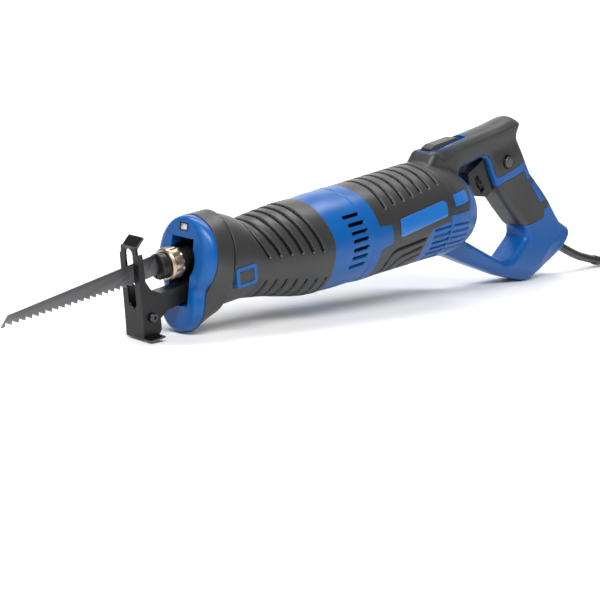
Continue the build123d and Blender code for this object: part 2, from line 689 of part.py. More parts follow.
with BuildPart() as lock_on_button:
    pin((-17.2, -9.8), 5.2, *LOCK_AT)
    fillet(lock_on_button.edges().group_by(Axis.Y)[0], 1.8)
lock_on_button.part.label = "lock_on_button"

# ---------------------------------------------------------------- screws and plates
with BuildPart() as handle_screws:
    for x, z in HANDLE_SCREWS:
        pin((6.0, HANDLE_HALF), 2.6, x, z)
handle_screws.part.label = "handle_screws"

with BuildPart() as housing_screws:
    for x, z in HOUSING_SCREWS:
        pin((20.0, 25.5), 2.0, x, z)
housing_screws.part.label = "housing_screws"

# ---------------------------------------------------------------- cord, in the standing frame
ORIGIN = (177.3, 32.8)     # where the tipped saw's own origin lies from the part's origin
STAND = Location((-ORIGIN[0], 0, ORIGIN[1]), (0, -PITCH, 0))

SLEEVE = [(497, -83), (513, -93.5), (546, -110.8), (584, -124.5)]
with BuildPart() as cord_sleeve:
    with BuildLine() as sleeve_line:
        FilletPolyline(*[(x, 0, z) for x, z in SLEEVE], radius=[30, 60])
    with BuildSketch(Plane(origin=sleeve_line.line @ 0, z_dir=sleeve_line.line % 0)):
        Circle(4.7)
    sweep()
    with BuildSketch(Plane(origin=sleeve_line.line @ 1, z_dir=sleeve_line.line % 1)):
        Circle(5.3)
    extrude(amount=-3)
cord_sleeve.part.label = "cord_sleeve"

CORD = [(419.2, 0, 6.0), (436, 0.9, 4.4), (455, 2.8, 3.95), (474, 3.7, 4.5)]
TAIL = [(479, -103.8, 12.0), (446, -103.8, 12.0)]
COIL_AT = (480.0, -50.0)
COIL_FOOT = 1.0            # the tie passes under the coil and lifts it by its own thickness
PLUG_AT = (-103.8, 12.2)   # y and z of the plug's axis, which points along -X

cord_radii = []
for before, corner, after in zip(CORD, CORD[1:], CORD[2:]):
    arriving, leaving = Vector(corner) - Vector(before), Vector(after) - Vector(corner)
    turn = arriving.get_angle(leaving)
    shorter = min(arriving.length, leaving.length)
    cord_radii.append(0.45 * shorter / tan(radians(turn) / 2))
print("cord arc radii:", [round(radius) for radius in cord_radii])

with BuildPart() as cord:
    with BuildLine() as cord_line:
        FilletPolyline(*CORD, radius=cord_radii)
    with BuildSketch(Plane(origin=CORD[0], z_dir=cord_line.line % 0)):
        Circle(CORD_D / 2)
    sweep()
    with BuildSketch(Plane(origin=TAIL[0], z_dir=(-1, 0, 0))):
        Circle(CORD_D / 2)
    extrude(amount=TAIL[0][0] - TAIL[1][0])
cord.part.label = "cord"

with BuildPart() as cord_coil:
    with BuildSketch(Plane.XZ.offset(-COIL_AT[1])):
        with Locations((COIL_AT[0] + COIL_R, COIL_FOOT + COIL_HIGH / 2)):
            RectangleRounded(2 * COIL_HALF, COIL_HIGH, 3.7)
    revolve(axis=Axis((*COIL_AT, 0), (0, 0, 1)))
cord_coil.part.label = "cord_coil"

with BuildPart() as cord_tie:
    with BuildSketch(Plane.XZ.offset(-COIL_AT[1] - 6)):
        with Locations((COIL_AT[0] + COIL_R, COIL_FOOT + COIL_HIGH / 2)):
            RectangleRounded(2 * COIL_HALF + 3.4, COIL_HIGH + 1.8, 4.4)
            RectangleRounded(2 * COIL_HALF + 1.8, COIL_HIGH + 0.2, 3.4, mode=Mode.SUBTRACT)
    extrude(amount=12)
cord_tie.part.label = "cord_tie"

with BuildPart() as plug_body:
    with BuildSketch(Plane.YZ.offset(382)):
        with Locations(PLUG_AT):
            RectangleRounded(35.5, 24.0, 7)
    with BuildSketch(Plane.YZ.offset(422)):
        with Locations(PLUG_AT):
            RectangleRounded(20.0, 18.0, 6)
    loft()
    with BuildSketch(Plane.YZ.offset(422)):
        with Locations(PLUG_AT):
            Circle(7.0)
    with BuildSketch(Plane.YZ.offset(446)):
        with Locations(PLUG_AT):
            Circle(5.0)
    loft()
plug_body.part.label = "plug_body"

with BuildPart() as plug_pins:
    for side in (-9.5, 9.5):
        rod((363, 382), 2.4, y=PLUG_AT[0] + side, z=PLUG_AT[1])
    fillet(plug_pins.edges().group_by(Axis.X)[0], 1.2)
plug_pins.part.label = "plug_pins"

# ---------------------------------------------------------------- writing the pieces
SAW = [saw_blade, blade_chuck, clamp_pin, clamp_collar, plunger, yoke, crank_bearing, crank_gear,
       gear_shaft, plunger_bushes, plunger_seal, shoe_foot, shoe_arm, shoe_pivot_bolt, nose_bezel,
       led_lens, nose_boot, front_grip_sleeve, gear_housing, gear_cover, release_button_frame,
       release_button, armature_shaft, armature_core, commutator, cooling_fan,
       front_motor_bearing, rear_motor_bearing, stator_core, field_coils, brush_holders,
       carbon_brushes, brush_springs, motor_housing_left, motor_housing_right, motor_grip_left,
       motor_grip_right, name_plates, handle_shell_left, handle_shell_right, handle_grip_left,
       handle_grip_right, swivel_catch, trigger, speed_dial, trigger_switch, speed_module,
       lock_on_button, handle_screws, housing_screws, cord_sleeve]
LYING = [cord, cord_coil, cord_tie, plug_body, plug_pins]

os.makedirs("parts", exist_ok=True)
for piece in SAW:
    standing = piece.part.moved(STAND)
    standing.label = piece.part.label
    export_step(standing, f"parts/{standing.label}.step")
for piece in LYING:
    export_step(piece.part, f"parts/{piece.part.label}.step")
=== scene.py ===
import json
import math

import bmesh
import bpy
import numpy as np
from mathutils import Matrix, Vector


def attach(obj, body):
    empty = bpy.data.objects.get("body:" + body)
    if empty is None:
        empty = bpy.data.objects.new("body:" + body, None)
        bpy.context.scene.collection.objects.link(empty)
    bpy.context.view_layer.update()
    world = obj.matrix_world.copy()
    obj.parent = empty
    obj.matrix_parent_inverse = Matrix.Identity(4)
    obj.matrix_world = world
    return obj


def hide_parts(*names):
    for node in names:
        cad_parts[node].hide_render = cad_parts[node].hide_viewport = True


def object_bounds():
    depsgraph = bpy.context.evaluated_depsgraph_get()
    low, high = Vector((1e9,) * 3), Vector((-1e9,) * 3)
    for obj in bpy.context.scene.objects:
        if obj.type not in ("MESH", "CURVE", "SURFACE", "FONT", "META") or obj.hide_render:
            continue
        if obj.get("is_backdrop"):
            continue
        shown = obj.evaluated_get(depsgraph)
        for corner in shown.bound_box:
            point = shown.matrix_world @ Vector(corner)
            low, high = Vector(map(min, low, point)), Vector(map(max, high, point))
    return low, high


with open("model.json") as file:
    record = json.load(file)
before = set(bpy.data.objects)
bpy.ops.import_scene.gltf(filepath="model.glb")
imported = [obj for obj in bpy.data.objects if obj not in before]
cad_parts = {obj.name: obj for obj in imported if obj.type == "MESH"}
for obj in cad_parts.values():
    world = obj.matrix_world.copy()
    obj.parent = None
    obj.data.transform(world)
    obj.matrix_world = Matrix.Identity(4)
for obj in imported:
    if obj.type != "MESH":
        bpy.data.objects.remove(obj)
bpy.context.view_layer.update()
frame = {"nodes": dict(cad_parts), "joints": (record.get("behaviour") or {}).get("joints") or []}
MM = 0.001

# The saw's own axes: X from the nose to the handle along the motor's axis, Z up, Y across,
# all in millimetres.  The swivel's joint lies on that axis, 269 mm along it.
SWIVEL = next(joint for joint in frame["joints"] if joint["name"] == "swivel")
ALONG = Vector(SWIVEL["axis"]).normalized()
UPWARD = Vector((-ALONG.z, 0, ALONG.x))
ZERO = Vector(SWIVEL["pos_m"]) - ALONG * 0.269


def place(points):
    """Points in the saw's own axes, in mm, as points in the frame, in metres."""
    p = np.asarray(points, float).reshape(-1, 3) * MM
    return (np.array(ZERO) + p[:, :1] * np.array(ALONG) + p[:, 2:] * np.array(UPWARD)
            + p[:, 1:2] * np.array((0, 1, 0)))


def at(x, y, z):
    return Vector(place([(x, y, z)])[0])


def turned(x, y, z):
    """A direction in the saw's own axes as one in the frame."""
    return ALONG * x + Vector((0, y, 0)) + UPWARD * z


# ---------------------------------------------------------------- camera
camera = bpy.data.objects.new("camera", bpy.data.cameras.new("camera"))
bpy.context.scene.collection.objects.link(camera)
back = turned(-0.7117, -0.6481, 0.2710).normalized()
right = turned(0.6654, -0.7456, -0.0354)
right = (right - back * right.dot(back)).normalized()
above = back.cross(right)
camera.matrix_world = Matrix.Translation(at(-602.2, -716.0, 299.4)) @ Matrix(
    (right, above, back)).transposed().to_4x4()
camera.data.sensor_width = 36
camera.data.lens = 78.8
camera.data.shift_x = -0.0811
camera.data.shift_y = -0.1113
camera.data.clip_start = 0.01
camera.data.clip_end = 60
bpy.context.scene.camera = camera


# ---------------------------------------------------------------- materials
def surface(name, colour, rough, metal=0.0, other=None, patch=9.0, grain=900.0, bump=0.1,
            rough_range=0.08, wear=None, coat=0.0, stretch=None, depth=0.0002, specular=0.5):
    """A moulded, painted or machined surface: slow colour change, varied gloss, fine grain."""
    made = bpy.data.materials.new(name)
    made.use_nodes = True
    nodes, links = made.node_tree.nodes, made.node_tree.links
    shader = nodes["Principled BSDF"]
    shader.inputs["Metallic"].default_value = metal
    shader.inputs["Coat Weight"].default_value = coat
    shader.inputs["Coat Roughness"].default_value = 0.12
    shader.inputs["Specular IOR Level"].default_value = specular
    where = nodes.new("ShaderNodeTexCoord").outputs["Object"]
    if stretch:
        mapping = nodes.new("ShaderNodeMapping")
        mapping.inputs["Scale"].default_value = stretch
        links.new(where, mapping.inputs["Vector"])
        where = mapping.outputs["Vector"]
    slow = nodes.new("ShaderNodeTexNoise")
    slow.inputs["Scale"].default_value = patch
    slow.inputs["Detail"].default_value = 4
    links.new(where, slow.inputs["Vector"])
    blend = nodes.new("ShaderNodeMix")
    blend.data_type = "RGBA"
    blend.inputs["A"].default_value = (*colour, 1)
    blend.inputs["B"].default_value = (*(other or [min(1, c * 1.25) for c in colour]), 1)
    links.new(slow.outputs["Fac"], blend.inputs["Factor"])
    tint = blend.outputs["Result"]
    if wear:
        edge = nodes.new("ShaderNodeNewGeometry")
        ramp = nodes.new("ShaderNodeMapRange")
        ramp.inputs["From Min"].default_value = 0.53
        ramp.inputs["From Max"].default_value = 0.62
        links.new(edge.outputs["Pointiness"], ramp.inputs["Value"])
        worn = nodes.new("ShaderNodeMix")
        worn.data_type = "RGBA"
        links.new(ramp.outputs["Result"], worn.inputs["Factor"])
        links.new(tint, worn.inputs["A"])
        worn.inputs["B"].default_value = (*wear, 1)
        tint = worn.outputs["Result"]
    links.new(tint, shader.inputs["Base Color"])
    fine = nodes.new("ShaderNodeTexNoise")
    fine.inputs["Scale"].default_value = grain
    fine.inputs["Detail"].default_value = 3
    links.new(where, fine.inputs["Vector"])
    gloss = nodes.new("ShaderNodeMapRange")
    gloss.inputs["To Min"].default_value = max(0.02, rough - rough_range)
    gloss.inputs["To Max"].default_value = rough + rough_range
    links.new(slow.outputs["Fac"], gloss.inputs["Value"])
    links.new(gloss.outputs["Result"], shader.inputs["Roughness"])
    relief = nodes.new("ShaderNodeBump")
    relief.inputs["Strength"].default_value = bump
    relief.inputs["Distance"].default_value = depth
    links.new(fine.outputs["Fac"], relief.inputs["Height"])
    links.new(relief.outputs["Normal"], shader.inputs["Normal"])
    return made


blue = surface("blue_plastic", (0.0004, 0.076, 0.285), 0.34, other=(0.0006, 0.092, 0.33), patch=5,
               grain=1400, bump=0.08, specular=0.36)
blue_plate = surface("blue_plate", (0.006, 0.125, 0.43), 0.26, other=(0.008, 0.145, 0.48), patch=6,
                     grain=1600, bump=0.05, coat=0.1)
rubber = surface("moulded_rubber", (0.021, 0.021, 0.021), 0.42, other=(0.030, 0.030, 0.030),
                 patch=8, grain=1500, bump=0.35, specular=0.5)
# painted shade: a near-black copy of the rubber for the faces deep in the grooves and in the
# release button's recess, where shade falls
groove = surface("groove_painted_shade", (0.003, 0.003, 0.003), 0.6, other=(0.005, 0.005, 0.005),
                 patch=8, grain=1500, bump=0.3, specular=0.12)
# near-black trim plastic, also painted shade: its darkness stands for the shade in the recess round
# the lock button
trim_and_recess_shade = surface("trim_plastic_and_recess_shade", (0.003, 0.003, 0.003), 0.3, other=(0.005, 0.005, 0.005),
                    patch=12, grain=1300, bump=0.06, specular=0.3)
dark_steel = surface("dark_ground_steel", (0.05, 0.05, 0.053), 0.26, metal=0.9,
                     other=(0.09, 0.09, 0.095), patch=40, grain=700, bump=0.1)
dark = surface("vent_shadow", (0.002, 0.002, 0.0025), 0.7, other=(0.004, 0.004, 0.005),
               specular=0.05)
black_steel = surface("black_oxide_steel", (0.012, 0.012, 0.013), 0.34, metal=0.6,
                      other=(0.022, 0.022, 0.023), patch=30, grain=700, bump=0.12,
                      wear=(0.10, 0.10, 0.10), rough_range=0.12)
blade_steel = surface("blade_oxide", (0.014, 0.014, 0.016), 0.42, metal=0.5,
                      other=(0.030, 0.030, 0.033), patch=45, grain=500, bump=0.15,
                      wear=(0.20, 0.20, 0.21), rough_range=0.14)
bronze = surface("collar_bronze", (0.44, 0.33, 0.22), 0.34, metal=1.0, other=(0.54, 0.43, 0.31),
                 patch=60, grain=900, bump=0.1, rough_range=0.1)
steel = surface("bright_steel", (0.48, 0.48, 0.49), 0.24, metal=1.0, other=(0.58, 0.58, 0.59),
                patch=40, grain=700, bump=0.12, stretch=(1, 1, 6))
gear_steel = surface("gear_steel", (0.34, 0.34, 0.35), 0.33, metal=1.0, other=(0.42, 0.42, 0.42),
                     patch=40, grain=700, bump=0.12)
alloy = surface("cast_alloy", (0.50, 0.50, 0.51), 0.48, metal=1.0, other=(0.60, 0.60, 0.60),
                patch=25, grain=450, bump=0.35)
stack = surface("laminated_core", (0.10, 0.10, 0.11), 0.5, metal=0.7, other=(0.17, 0.17, 0.18),
                patch=20, grain=300, bump=0.4, stretch=(14, 1, 1))
copper = surface("wound_copper", (0.46, 0.16, 0.06), 0.35, metal=1.0, other=(0.60, 0.24, 0.10),
                 patch=70, grain=500, bump=0.5, stretch=(1, 8, 8))
sintered = surface("sintered_bronze", (0.42, 0.27, 0.12), 0.5, metal=1.0, other=(0.5, 0.34, 0.16),
                   patch=80, grain=600, bump=0.4)
carbon = surface("brush_carbon", (0.02, 0.02, 0.02), 0.6, other=(0.035, 0.035, 0.035), grain=800,
                 bump=0.4)
black = surface("black_gloss_plastic", (0.008, 0.008, 0.009), 0.22, other=(0.014, 0.014, 0.015),
                patch=12, grain=1300, bump=0.06, coat=0.1, specular=0.25)
grey = surface("grey_button_plastic", (0.045, 0.046, 0.048), 0.26, other=(0.06, 0.061, 0.063),
               patch=12, grain=1300, bump=0.06, coat=0.2)
lens = surface("lamp_lens", (0.72, 0.75, 0.78), 0.12, other=(0.85, 0.87, 0.9), patch=90,
               grain=500, bump=0.1, coat=0.5)
flex = surface("cord_sheath", (0.012, 0.012, 0.012), 0.42, other=(0.020, 0.020, 0.020), patch=20,
               grain=900, bump=0.25)
tie_plastic = surface("tie_plastic", (0.016, 0.016, 0.017), 0.38, other=(0.03, 0.03, 0.03),
                      patch=30, grain=700, bump=0.2)
nickel = surface("nickel_plate", (0.62, 0.60, 0.56), 0.16, metal=1.0, other=(0.70, 0.68, 0.64),
                 patch=60, grain=900, bump=0.05)

FINISH = {
    "motor_housing_left": blue, "motor_housing_right": blue, "motor_grip_left": rubber,
    "motor_grip_right": rubber, "name_plates": blue_plate, "handle_shell_left": blue,
    "handle_shell_right": blue, "handle_grip_left": rubber, "handle_grip_right": rubber,
    "trigger": black, "speed_dial": black, "lock_on_button": grey, "swivel_catch": rubber,
    "nose_bezel": blue, "nose_boot": rubber, "front_grip_sleeve": rubber, "led_lens": lens,
    "release_button": rubber, "release_button_frame": blue, "cord_sleeve": rubber, "cord": flex,
    "cord_coil": flex, "cord_tie": tie_plastic, "plug_body": flex, "plug_pins": nickel,
    "saw_blade": blade_steel, "shoe_foot": black_steel, "shoe_arm": black_steel,
    "shoe_pivot_bolt": dark_steel, "clamp_collar": bronze, "blade_chuck": black_steel,
    "clamp_pin": steel, "plunger": dark_steel, "yoke": gear_steel, "crank_bearing": steel,
    "crank_gear": gear_steel, "gear_shaft": steel, "gear_housing": alloy, "gear_cover": alloy,
    "plunger_bushes": sintered, "plunger_seal": rubber, "armature_shaft": steel,
    "armature_core": stack, "commutator": copper, "cooling_fan": black, "stator_core": stack,
    "field_coils": copper, "brush_holders": sintered, "carbon_brushes": carbon,
    "brush_springs": steel, "front_motor_bearing": steel, "rear_motor_bearing": steel,
    "housing_screws": gear_steel, "handle_screws": gear_steel, "trigger_switch": black,
    "speed_module": black,
}
for name, node in frame["nodes"].items():
    node.data.materials.clear()
    node.data.materials.append(FINISH[name])


def soften(names, width, angle=38):
    """Round the sharp edges of carried-over pieces, without changing their meshes."""
    for name in names:
        node = frame["nodes"][name]
        join = node.modifiers.new("join", "WELD")
        join.merge_threshold = 0.000005
        edge = node.modifiers.new("edge", "BEVEL")
        edge.width = width * MM
        edge.segments = 2
        edge.limit_method = "ANGLE"
        edge.angle_limit = math.radians(angle)
        edge.harden_normals = True


soften(["shoe_foot", "shoe_arm", "blade_chuck", "shoe_pivot_bolt"], 0.3)
soften(["nose_bezel", "nose_boot"], 1.0, 50)
soften(["release_button_frame", "release_button", "lock_on_button", "speed_dial"], 0.35)
soften(["trigger", "swivel_catch", "cord_tie"], 0.7)
soften(["name_plates"], 0.25, 55)

# ---------------------------------------------------------------- mesh helpers
def piece(name, points, faces, materials, body, slot, replaced=(), smooth=40, tool_axes=True,
          marks=None):
    """A mesh piece from points and faces, riding on a body."""
    mesh = bpy.data.meshes.new(name)
    mesh.from_pydata(place(points).tolist() if tool_axes else [tuple(p) for p in points], [],
                     faces)
    for entry in materials:
        mesh.materials.append(entry)
    if marks is not None:
        mesh.polygons.foreach_set("material_index", np.asarray(marks, np.int32))
    mesh.update()
    made = bpy.data.objects.new(name, mesh)
    bpy.context.scene.collection.objects.link(made)
    tidy = bmesh.new()
    tidy.from_mesh(mesh)
    bmesh.ops.recalc_face_normals(tidy, faces=tidy.faces)
    tidy.to_mesh(mesh)
    tidy.free()
    mesh.polygons.foreach_set("use_smooth", [True] * len(mesh.polygons))
    mesh.set_sharp_from_angle(angle=math.radians(smooth))
    return finish_piece(made, body, replaced)


def finish_piece(made, body, replaced=()):
    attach(made, body)
    if replaced:
        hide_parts(*replaced)
    return made


# ---------------------------------------------------------------- cord, in the frame, in mm
ROUTE = [(419.2, 0.0, 6.0), (436.0, 0.9, 4.6), (455.0, 2.8, 4.2), (466.0, 3.6, 4.4)]
COIL_AT = (480.0, -50.0)
TURNS = [(53.75, 4.75), (46.25, 4.75), (38.75, 4.75), (31.25, 4.75), (31.25, 12.25),
         (31.25, 19.75), (38.75, 19.75), (38.75, 12.25), (46.25, 12.25), (46.25, 19.75),
         (53.75, 19.75), (53.75, 12.25)]
COIL_TURNS, STEPS = 11.5, 16          # turns of the coil, and points to a turn
CROSSING = 0.30                       # the part of a turn in which it moves to its next place
cord_points = [Vector(p) for p in ROUTE]
for step in range(int(COIL_TURNS * STEPS) + 1):
    turn = step / STEPS
    index = min(int(turn), len(TURNS) - 1)
    radius, height = TURNS[index]
    before_radius, before_height = TURNS[max(index - 1, 0)]
    share = min(1.0, (turn - index) / CROSSING) if index else 1.0
    share = share * share * (3 - 2 * share)
    radius = before_radius + (radius - before_radius) * share
    height = before_height + (height - before_height) * share
    radius /= 0.75 + 0.25 * math.cos(2 * math.pi / STEPS)     # the curve runs inside its points
    angle = math.radians(90) - 2 * math.pi * turn
    if step:
        cord_points.append(Vector((COIL_AT[0] + radius * math.cos(angle),
                                   COIL_AT[1] + radius * math.sin(angle), height)))
cord_points += [Vector((468.0, -104.4, 12.2)), Vector((456.0, -103.8, 12.2)),
                Vector((446.0, -103.8, 12.2))]
line = bpy.data.curves.new("mains_cord", "CURVE")
line.dimensions = "3D"
line.bevel_depth = 3.75 * MM
line.bevel_resolution = 5
line.use_fill_caps = True
line.resolution_u = 6
spline = line.splines.new("NURBS")
spline.points.add(len(cord_points) - 1)
for target, point in zip(spline.points, cord_points):
    target.co = (*(point * MM), 1)
spline.order_u = 3
spline.use_endpoint_u = True
line.materials.append(flex)
mains_cord = bpy.data.objects.new("mains_cord", line)
bpy.context.scene.collection.objects.link(mains_cord)
finish_piece(mains_cord, "handle", ["cord", "cord_coil"])


def tube_rings(centres, radii, around=28):
    """Rings of points round a path in the saw's axes, for a lofted solid."""
    rings = []
    centres = [Vector(c) for c in centres]
    for index, centre in enumerate(centres):
        ahead = centres[min(index + 1, len(centres) - 1)] - centres[max(index - 1, 0)]
        side = Vector((0, 1, 0))
        up = ahead.cross(side).normalized()
        ring = []
        for k in range(around):
            a = 2 * math.pi * k / around
            ring.append(centre + side * radii[index] * math.cos(a)
                        + up * radii[index] * math.sin(a))
        rings.append(ring)
    return rings


def loft(rings):
    """Points and faces of a closed solid through rings of equal size."""
    around = len(rings[0])
    points = [p for ring in rings for p in ring]
    faces = []
    for j in range(len(rings) - 1):
        for k in range(around):
            n = (k + 1) % around
            faces.append((j * around + k, j * around + n, (j + 1) * around + n,
                          (j + 1) * around + k))
    faces.append(tuple(reversed(range(around))))
    faces.append(tuple(range((len(rings) - 1) * around, len(rings) * around)))
    return points, faces


# the sleeve that the cord leaves the handle through: tapered, with a lip at its end
SLEEVE = [(494, -80.6), (503, -86.6), (513, -92.6), (530, -102.2), (546, -110.0), (565, -117.4),
          (584, -124.5)]


def along_sleeve(t):
    """A point on the sleeve's line, 0 at the handle and 1 at the lip."""
    x = np.interp(t, np.linspace(0, 1, len(SLEEVE)), [p[0] for p in SLEEVE])
    z = np.interp(t, np.linspace(0, 1, len(SLEEVE)), [p[1] for p in SLEEVE])
    return x, 0.0, z


sleeve_centres, sleeve_radii = [], []
for t in np.linspace(0, 1, 90):
    radius = 4.72 - 0.45 * t
    if 0.86 < t <= 0.90:
        radius -= 0.25
    if t > 0.90:
        radius = 5.15 if t < 0.985 else 4.7
    sleeve_centres.append(along_sleeve(t))
    sleeve_radii.append(radius)
cord_relief = piece("cord_relief", *loft(tube_rings(sleeve_centres, sleeve_radii)), [rubber],
                    "handle", "black_rubber", ["cord_sleeve"])

# the plug, in the frame's own axes: x, half width and half height along it
PLUG_Y, PLUG_Z = -103.8, 12.2
PLUG = [(382.2, 17.6, 11.8), (383.5, 17.75, 12.0), (389, 17.75, 12.0), (390.2, 16.9, 11.6),
        (391.4, 17.6, 11.9), (400, 16.6, 11.4), (408, 14.6, 10.6), (416, 12.0, 9.9),
        (421.6, 9.6, 9.0), (422.2, 7.2, 7.0), (425, 6.9, 6.9), (426, 6.0, 6.0),
        (428.6, 6.0, 6.0), (429.4, 6.7, 6.7), (431, 6.6, 6.6), (431.8, 5.7, 5.7),
        (434.4, 5.7, 5.7), (435.2, 6.3, 6.3), (437, 6.1, 6.1), (437.8, 5.3, 5.3),
        (440.4, 5.2, 5.2), (441.2, 5.7, 5.7), (444, 5.4, 5.4), (445.8, 4.9, 4.9)]
plug_rings = []
for x, wide, high in PLUG:
    power = 3.2 if x < 422 else 2.0           # a rounded block, then a round sleeve
    ring = []
    for k in range(40):
        a = 2 * math.pi * k / 40
        c, s = math.cos(a), math.sin(a)
        ring.append(Vector((x, PLUG_Y + wide * math.copysign(abs(c) ** (2 / power), c),
                            PLUG_Z + high * math.copysign(abs(s) ** (2 / power), s))) * MM)
    plug_rings.append(ring)
plug_points, plug_faces = loft(plug_rings)
plug = piece("mains_plug", plug_points, plug_faces, [flex], "handle", "black_rubber",
             ["plug_body"], tool_axes=False)

# ---------------------------------------------------------------- casings, as grids of x and angle
NOSE = [(11.71, 15.27, 30.4, 35.44, 0.28), (36, 15.5, 30.6, 35.3, 0), (47, 13.2, 30.2, 33.2, 0),
        (58, 9.2, 31.1, 31.1, 0), (70, 8.4, 32.7, 32.7, 0), (90, 6.3, 36.0, 36.0, 0),
        (112, 4.0, 39.0, 39.0, 0), (125.5, 3.0, 39.6, 39.6, 0)]
MOTOR_END = 269.7
MOTOR = [(122.5, 3.0, 39.45), (125.7, 3.0, 39.6), (140, 2.9, 40.6), (168, 2.2, 41.1),
         (176.4, 1.5, 41.4), (200, 1.4, 41.8), (235, 0.7, 42.8), (MOTOR_END, 0.0, 43.8)]


def smooth_through(x, knots, values):
    """A smooth curve through the stations: cubic pieces whose slopes come from their neighbours."""
    knots, values = np.asarray(knots, float), np.asarray(values, float)
    slopes = np.gradient(values, knots)
    i = np.clip(np.searchsorted(knots, x) - 1, 0, len(knots) - 2)
    width = knots[i + 1] - knots[i]
    t = np.clip((x - knots[i]) / width, 0, 1)
    return (values[i] * (1 + 2 * t) * (1 - t) ** 2 + slopes[i] * width * t * (1 - t) ** 2
            + values[i + 1] * t * t * (3 - 2 * t) + slopes[i + 1] * width * t * t * (t - 1))


def nose_surface(x, angle, inset):
    """Points on the nose casing, x along it and angle from the left side up, inset below it."""
    columns = [[row[k] for row in NOSE] for k in range(5)]
    height = smooth_through(x, columns[0], columns[1])
    wide = smooth_through(x, columns[0], columns[2]) - inset
    high = smooth_through(x, columns[0], columns[3]) - inset
    lean = smooth_through(x, columns[0], columns[4])
    z = height + high * np.sin(angle)
    return np.stack([x + lean * z, -wide * np.cos(angle), z], -1)


def motor_surface(x, angle, inset):
    columns = [[row[k] for row in MOTOR] for k in range(3)]
    height = np.interp(x, columns[0], columns[1])
    radius = smooth_through(x, columns[0], columns[2]) - inset
    return np.stack([x, -radius * np.cos(angle), height + radius * np.sin(angle)], -1)


def elevation(angle):
    """The angle above the side's middle, in degrees, the same on the left and the right side."""
    return np.degrees(np.arcsin(np.sin(angle)))


def cut_line(x, up, way, half, depth, radius=40.0):
    """How deep a rounded groove along way, of (x, elevation) points, is at each point."""
    s = np.radians(up) * radius
    nearest = np.full(x.shape, 1e9)
    for (x0, e0), (x1, e1) in zip(way, way[1:]):
        s0, s1 = math.radians(e0) * radius, math.radians(e1) * radius
        dx, ds = x1 - x0, s1 - s0
        t = np.clip(((x - x0) * dx + (s - s0) * ds) / (dx * dx + ds * ds + 1e-9), 0, 1)
        nearest = np.minimum(nearest, np.hypot(x - x0 - t * dx, s - s0 - t * ds))
    share = np.clip(nearest / half, 0, 1)
    return depth * (1 - share ** 4) ** 1.5


def step_up(value, low, high):
    t = np.clip((value - low) / (high - low), 0, 1)
    return t * t * (3 - 2 * t)


EDGE_DROP, EDGE_REACH = 0.5, 1.2      # a casing's rounded rim, in mm


def casing(name, shape, start, end, columns, rows, relief, wall, materials, body, slot, replaced,
           mark):
    """A closed shell between two edges that may wander, with its relief cut into the outside."""
    angle = np.linspace(-np.pi, np.pi, rows, endpoint=False)[None, :]
    share = np.linspace(0, 1, columns)[:, None]
    up = elevation(angle)
    x = start(up) + (end(up) - start(up)) * share
    angle = np.broadcast_to(angle, x.shape)
    up = np.broadcast_to(up, x.shape)
    deep = relief(x, up, angle)
    edge = np.minimum(x - start(up), end(up) - x)
    deep = deep + EDGE_DROP * (1 - np.sqrt(1 - (1 - np.clip(edge / EDGE_REACH, 0, 1)) ** 2))
    outer = shape(x, angle, np.minimum(deep, wall - 0.4))
    behind = np.unique(np.linspace(columns - 1, 0, 16).astype(int))[::-1]
    inner = shape(x[behind], angle[behind], np.full(x[behind].shape, wall))
    sheet = np.concatenate([outer, inner])
    layers = sheet.shape[0]
    points = sheet.reshape(-1, 3)
    j, k = np.meshgrid(np.arange(layers), np.arange(rows), indexing="ij")
    after, beside = (j + 1) % layers, (k + 1) % rows
    faces = np.stack([j * rows + k, j * rows + beside, after * rows + beside, after * rows + k],
                     -1).reshape(-1, 4)
    marks = np.zeros((layers, rows), int)
    marks[:columns - 1] = mark((x[1:] + x[:-1]) / 2, (up[1:] + up[:-1]) / 2,
                               (deep[1:] + deep[:-1]) / 2)
    return piece(name, points, faces.tolist(), materials, body, slot, replaced, smooth=55,
                 marks=marks.ravel())


# front grip: six grooves over the top, seven under it, and a recess for the release button
BUTTON_AT, BUTTON_HALF = (36, -8.0), (10.6, 6.6)      # along the casing, and up its left side


def grip_front_edge(up):
    return 20.3 + 0.2 * (15.3 + 35.4 * np.sin(np.radians(up)))


def grip_rear_edge(up):
    return np.interp(up, [-90, -50, -13, 11, 50, 90], [123.4, 123.6, 124.4, 126.6, 123.8, 123.0])


def grip_relief(x, up, angle):
    deep = np.zeros(x.shape)
    for i in range(6):
        way = [(50 + 10.3 * i, 90), (52 + 10.3 * i, 60), (55.5 + 10.3 * i, 34),
               (60.6 + 10.3 * i, 12 - 0.8 * i)]
        deep = np.maximum(deep, cut_line(x, up, way, 2.1, min(1.55, 1.1 + 0.2 * i), 34))
    for i in range(7):
        way = [(57 + 10 * i, -90), (56.4 + 10 * i, -55), (58.5 + 9.9 * i, -26 - 0.8 * i)]
        deep = np.maximum(deep, cut_line(x, up, way, 1.6, 1.3, 34))
    left = np.cos(angle) > 0
    up_side = np.radians(up) * 30
    button = np.maximum(np.abs(x - BUTTON_AT[0]) - BUTTON_HALF[0],
                        np.abs(up_side - BUTTON_AT[1]) - BUTTON_HALF[1])
    return np.where(left & (button < 0), 1.5, deep)


# painted shade: faces cut more than 0.95 mm deep take the second, near-black material; these are
# the grooves and, on the front grip, the release button's recess
def groove_shade_mask(x, up, deep):
    return (deep > 0.95).astype(int)


# the front grip's grooves and button recess are painted with shade through the second material
casing("front_grip", nose_surface, grip_front_edge, grip_rear_edge, 210, 440, grip_relief, 1.98,
       [rubber, groove], "drive_body", "soft_grip", ["front_grip_sleeve"], mark=groove_shade_mask)


# blue motor casing: vents, rim, and sunk where the rubber lies over it
def band_rear_edge(up):
    tab = step_up(up, -13, -8) * (1 - step_up(up, 14, 17))
    return np.interp(up, [-90, -45, 0, 40, 90], [174, 176, 178, 176, 172]) + 14.5 * tab


